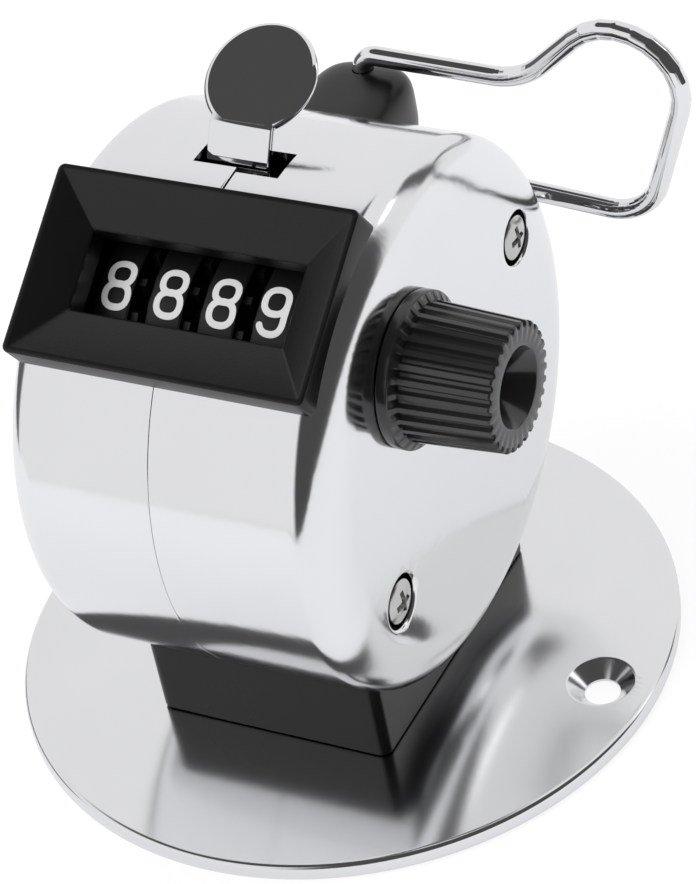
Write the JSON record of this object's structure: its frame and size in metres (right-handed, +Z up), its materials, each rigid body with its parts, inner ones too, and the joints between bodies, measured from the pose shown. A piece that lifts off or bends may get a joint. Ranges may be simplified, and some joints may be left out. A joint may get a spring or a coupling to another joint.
{
  "type": "tally counter",
  "caption": "Chromed desk tally counter with a thumb lever, tilted digit window, fluted reset knob and finger ring, on a black foot and a round screw-down base plate.",
  "frame": {"origin": "centre of the base plate's underside", "axes": "+Z up, -Y towards the person reading the display, +X towards the reset knob"},
  "size_m": [0.06, 0.06, 0.0589],
  "materials": {
    "chrome": "polished",
    "black_plastic": "satin gloss",
    "wheel_plastic": "satin",
    "steel": "bright",
    "brass": "plain",
    "nylon": "plain"
  },
  "bodies": {
    "stand": {"base_plate": "chrome", "foot_block": "black_plastic", "saddle_screw_left": "steel", "saddle_screw_right": "steel", "clamp_plate": "steel", "casing_left": "chrome", "casing_right": "chrome", "casing_screw_upper": "steel", "casing_screw_lower": "steel", "display_bezel": "black_plastic", "frame_plate_left": "steel", "frame_plate_right": "steel", "frame_spacer_upper": "brass", "frame_spacer_lower": "brass", "lever_pin": "steel", "detent_spring": "steel", "lever_spring": "steel", "ring_lug": "black_plastic", "lug_screw": "steel"},
    "reset": {"wheel_shaft": "steel", "reset_knob": "black_plastic", "knob_screw": "steel"},
    "units": {"units_wheel": "wheel_plastic", "ratchet_wheel": "brass"},
    "tens": {"tens_wheel": "wheel_plastic"},
    "hundreds": {"hundreds_wheel": "wheel_plastic"},
    "thousands": {"thousands_wheel": "wheel_plastic"},
    "carry_shaft": {"pinion_shaft": "steel"},
    "carry_tens": {"carry_pinion_1": "nylon"},
    "carry_hundreds": {"carry_pinion_2": "nylon"},
    "carry_thousands": {"carry_pinion_3": "nylon"},
    "lever": {"thumb_lever": "chrome", "feed_arm": "steel", "pawl_pin": "steel"},
    "pawl": {"feed_pawl": "brass"},
    "ring": {"finger_ring": "chrome"}
  },
  "joints": [
    {"name": "lever_press", "type": "hinge", "parent": "stand", "child": "lever", "pos_m": [0, 0.009, 0.044], "axis": [1, 0, 0], "range_deg": [0, 12], "stiffness_Nm_per_rad": 0.12, "springref_deg": -6.88},
    {"name": "pawl_swing", "type": "hinge", "parent": "lever", "child": "pawl", "pos_m": [0, 0.0035, 0.0424], "axis": [1, 0, 0], "range_deg": [0, 15], "stiffness_Nm_per_rad": 0.002, "springref_deg": -5.73},
    {"name": "reset_turn", "type": "hinge", "parent": "stand", "child": "reset", "pos_m": [0, -0.00488, 0.03845], "axis": [1, 0, 0], "range_deg": [-360, 0]},
    {"name": "units_turn", "type": "hinge", "parent": "reset", "child": "units", "pos_m": [0, -0.00488, 0.03845], "axis": [1, 0, 0], "range_deg": [-37, 1]},
    {"name": "tens_turn", "type": "hinge", "parent": "reset", "child": "tens", "pos_m": [0, -0.00488, 0.03845], "axis": [1, 0, 0], "range_deg": [-37, 1]},
    {"name": "hundreds_turn", "type": "hinge", "parent": "reset", "child": "hundreds", "pos_m": [0, -0.00488, 0.03845], "axis": [1, 0, 0], "range_deg": [-36, 0]},
    {"name": "thousands_turn", "type": "hinge", "parent": "reset", "child": "thousands", "pos_m": [0, -0.00488, 0.03845], "axis": [1, 0, 0], "range_deg": [-36, 0]},
    {"name": "carry_shaft_turn", "type": "hinge", "parent": "stand", "child": "carry_shaft", "pos_m": [0, 0.00094, 0.02775], "axis": [1, 0, 0], "range_deg": [-2, 902]},
    {"name": "carry_tens_turn", "type": "hinge", "parent": "carry_shaft", "child": "carry_tens", "pos_m": [0, 0.00094, 0.02775], "axis": [1, 0, 0], "range_deg": [-1, 91]},
    {"name": "carry_hundreds_turn", "type": "hinge", "parent": "carry_shaft", "child": "carry_hundreds", "pos_m": [0, 0.00094, 0.02775], "axis": [1, 0, 0], "range_deg": [-1, 91]},
    {"name": "carry_thousands_turn", "type": "hinge", "parent": "carry_shaft", "child": "carry_thousands", "pos_m": [0, 0.00094, 0.02775], "axis": [1, 0, 0], "range_deg": [-1, 91]},
    {"name": "ring_swing", "type": "hinge", "parent": "stand", "child": "ring", "pos_m": [-0.003, 0.025, 0], "axis": [0, 0, 1], "range_deg": [0, 180]}
  ],
  "couplings": [
    {"joint": "units_turn", "follows": "lever_press", "ratio": -3},
    {"joint": "tens_turn", "follows": "lever_press", "ratio": -3},
    {"joint": "carry_tens_turn", "follows": "lever_press", "ratio": 7.5},
    {"joint": "carry_shaft_turn", "follows": "reset_turn", "ratio": -2.5},
    {"joint": "carry_hundreds_turn", "follows": "hundreds_turn", "ratio": -2.5},
    {"joint": "carry_thousands_turn", "follows": "thousands_turn", "ratio": -2.5}
  ]
}
